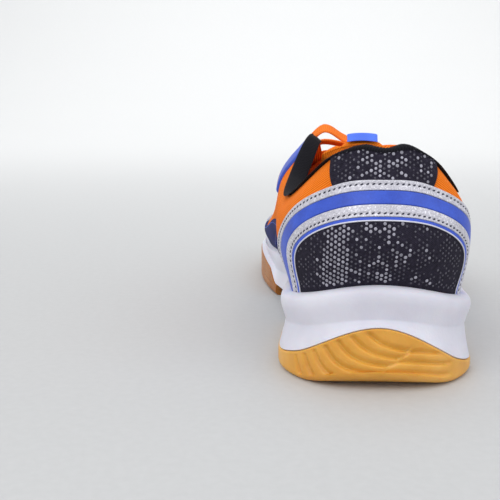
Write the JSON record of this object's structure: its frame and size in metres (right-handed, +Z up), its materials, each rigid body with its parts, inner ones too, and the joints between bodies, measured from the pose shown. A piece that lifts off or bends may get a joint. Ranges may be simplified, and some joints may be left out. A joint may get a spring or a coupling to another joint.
{
  "type": "court shoe",
  "caption": "Low-cut racket-sports court shoe, right foot: gum outsole wrapped up a cupped foam midsole, mesh upper with arched heel bands, padded collar, laced padded tongue.",
  "frame": {"origin": "on the ground under the middle of the shoe", "axes": "+Y from heel to toe, +X to the outer (lateral) side of the right foot, +Z up"},
  "size_m": [0.1044, 0.2942, 0.0936],
  "materials": {
    "gum_rubber": "translucent amber rubber, satin",
    "midsole_foam": "moulded foam, fine skin",
    "shank_plastic": "smooth moulded plate",
    "cushion_gel": "soft elastomer",
    "board": "stiff non-woven board",
    "footbed_fabric": "brushed textile over foam",
    "orange_mesh": "fine ribbed mesh",
    "black_lining": "smooth lining textile",
    "padding": "open-cell foam",
    "black_knit": "ribbed knit",
    "charcoal_textile": "printed textile with raised dots",
    "silver_film": "metallic flake film",
    "blue_film": "satin film",
    "navy_film": "satin film",
    "grey_film": "scuff-resistant film",
    "blue_label": "woven tape",
    "orange_lace": "flat woven lace",
    "aglet_plastic": "clear moulded tip"
  },
  "bodies": {
    "shoe_body": {"heel_outsole": "gum_rubber", "forefoot_outsole": "gum_rubber", "midfoot_shank": "shank_plastic", "midsole": "midsole_foam", "heel_cushion_insert": "cushion_gel", "forefoot_cushion_insert": "cushion_gel", "strobel_board": "board", "lateral_quarter": "orange_mesh", "medial_quarter": "orange_mesh", "toe_vamp": "orange_mesh", "toe_puff": "board", "heel_lining": "black_lining", "collar_foam": "padding", "heel_counter": "board", "collar_binding": "black_knit", "heel_lower_panel": "charcoal_textile", "arch_piping": "blue_film", "inner_silver_band": "silver_film", "blue_band": "blue_film", "outer_silver_band": "silver_film", "heel_tab_panel": "charcoal_textile", "lateral_lower_overlay": "navy_film", "medial_lower_overlay": "navy_film", "lateral_eyestay": "blue_film", "medial_eyestay": "blue_film", "toe_guard": "grey_film", "tongue_base": "orange_mesh", "lace": "orange_lace", "lateral_aglet": "aglet_plastic", "medial_aglet": "aglet_plastic"},
    "tongue_top": {"tongue_flap": "orange_mesh", "tongue_label": "blue_label"},
    "footbed": {"sockliner": "footbed_fabric"}
  },
  "joints": [
    {"name": "tongue_fold", "type": "hinge", "parent": "shoe_body", "child": "tongue_top", "pos_m": [-0.00028, -0.03837, 0.0812], "axis": [-1, 0, 0], "range_deg": [0, 38], "stiffness_Nm_per_rad": 0.01},
    {"name": "footbed_lift", "type": "hinge", "parent": "shoe_body", "child": "footbed", "pos_m": [-0.00028, 0.13183, 0.01924], "axis": [-1, 0, 0], "range_deg": [0, 5]}
  ]
}
